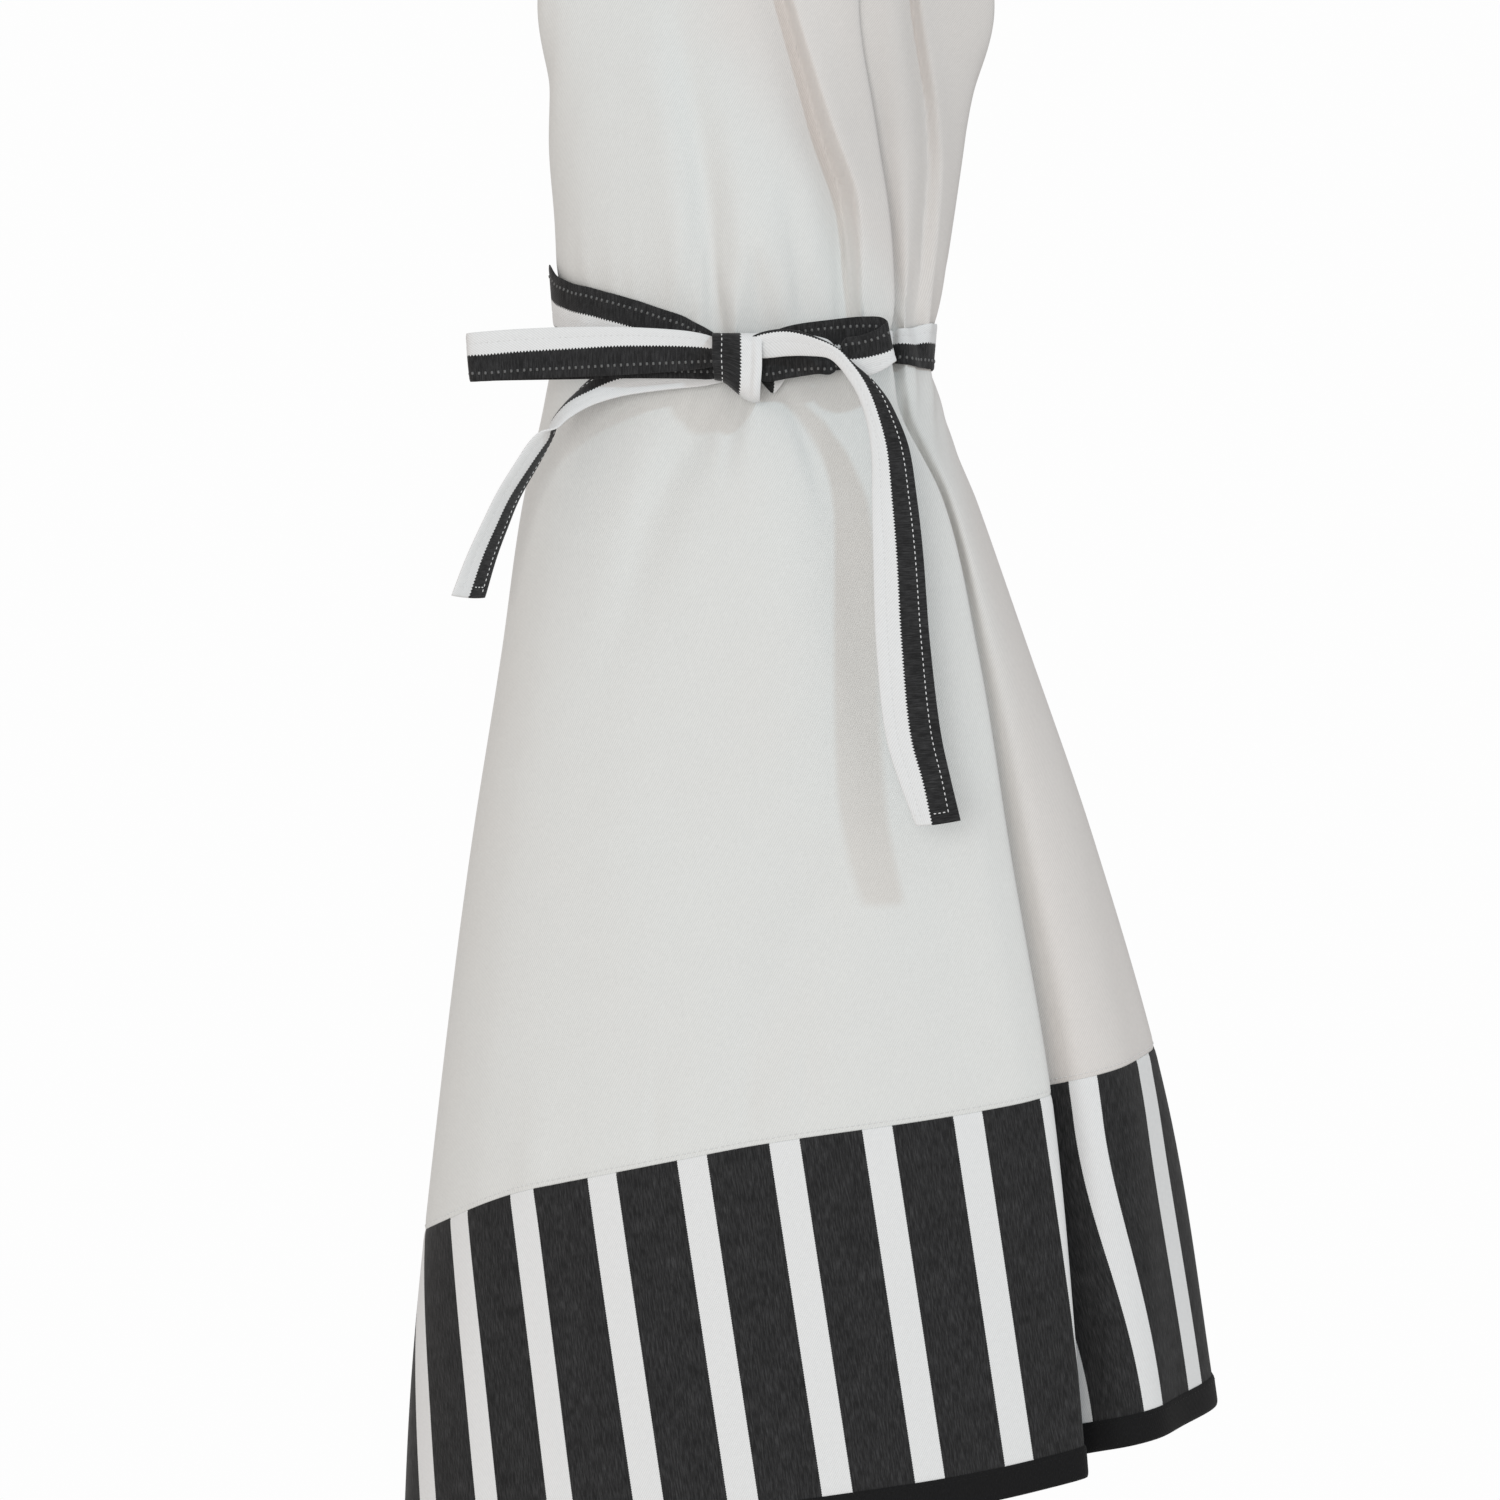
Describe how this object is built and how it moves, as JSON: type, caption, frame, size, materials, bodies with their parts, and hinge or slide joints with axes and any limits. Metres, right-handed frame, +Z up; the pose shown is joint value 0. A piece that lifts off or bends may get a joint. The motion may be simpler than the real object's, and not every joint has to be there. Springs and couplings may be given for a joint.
{
  "type": "apron on a hook",
  "caption": "Long bib apron in off-white twill with a charcoal striped hem band, cinched by its own two-tone ties in a bow and hung by the neck strap from a steel wall hook.",
  "frame": {"origin": "centre of the hook plate's back face, on the wall", "axes": "+Z up, +Y into the wall (the plate's back faces +Y), +X to the viewer's right"},
  "size_m": [0.4075, 0.2089, 1.2215],
  "materials": {
    "steel": "satin brushed",
    "screw_steel": "plain",
    "white_twill": "fine twill",
    "striped_twill": "brushed charcoal and white stripes",
    "black_binding": "matt woven tape",
    "two_tone_tape": "white and charcoal, topstitched"
  },
  "bodies": {
    "wall_hook": {"hook_plate": "steel", "hook_collar": "steel", "hook_arm": "steel", "hook_knob": "steel", "wall_screws": "screw_steel"},
    "strap_crown": {"neck_strap_crown": "two_tone_tape"},
    "apron": {"neck_strap_left": "two_tone_tape", "neck_strap_right": "two_tone_tape", "bib": "white_twill", "skirt_front": "white_twill", "skirt_flap": "white_twill", "striped_band_front": "striped_twill", "striped_band_flap": "striped_twill", "hem_binding_front": "black_binding", "hem_binding_flap": "black_binding", "waist_tie_left": "two_tone_tape", "waist_tie_right": "two_tone_tape", "bow_knot": "two_tone_tape"},
    "bow_left": {"bow_loop_left": "two_tone_tape"},
    "bow_right": {"bow_loop_right": "two_tone_tape"},
    "tail_left": {"tie_tail_left": "two_tone_tape"},
    "tail_right": {"tie_tail_right": "two_tone_tape"}
  },
  "joints": [
    {"name": "lift_off", "type": "slide", "parent": "wall_hook", "child": "strap_crown", "axis": [0, 0, 1], "range_m": [0, 0.06]},
    {"name": "apron_swing", "type": "hinge", "parent": "strap_crown", "child": "apron", "pos_m": [0, -0.0375, 0], "axis": [0, 1, 0], "range_deg": [-12, 12]},
    {"name": "bow_left_lift", "type": "hinge", "parent": "apron", "child": "bow_left", "pos_m": [-0.036, -0.1146, -0.553], "axis": [0, 1, 0], "range_deg": [0, 25]},
    {"name": "bow_right_lift", "type": "hinge", "parent": "apron", "child": "bow_right", "pos_m": [0.015, -0.1147, -0.551], "axis": [0, -1, 0], "range_deg": [0, 25]},
    {"name": "tail_left_lift", "type": "hinge", "parent": "apron", "child": "tail_left", "pos_m": [-0.0235, -0.1151, -0.5725], "axis": [-1, 0, 0], "range_deg": [0, 60]},
    {"name": "tail_right_lift", "type": "hinge", "parent": "apron", "child": "tail_right", "pos_m": [0.0025, -0.1266, -0.547], "axis": [-1, 0, 0], "range_deg": [0, 60]}
  ]
}
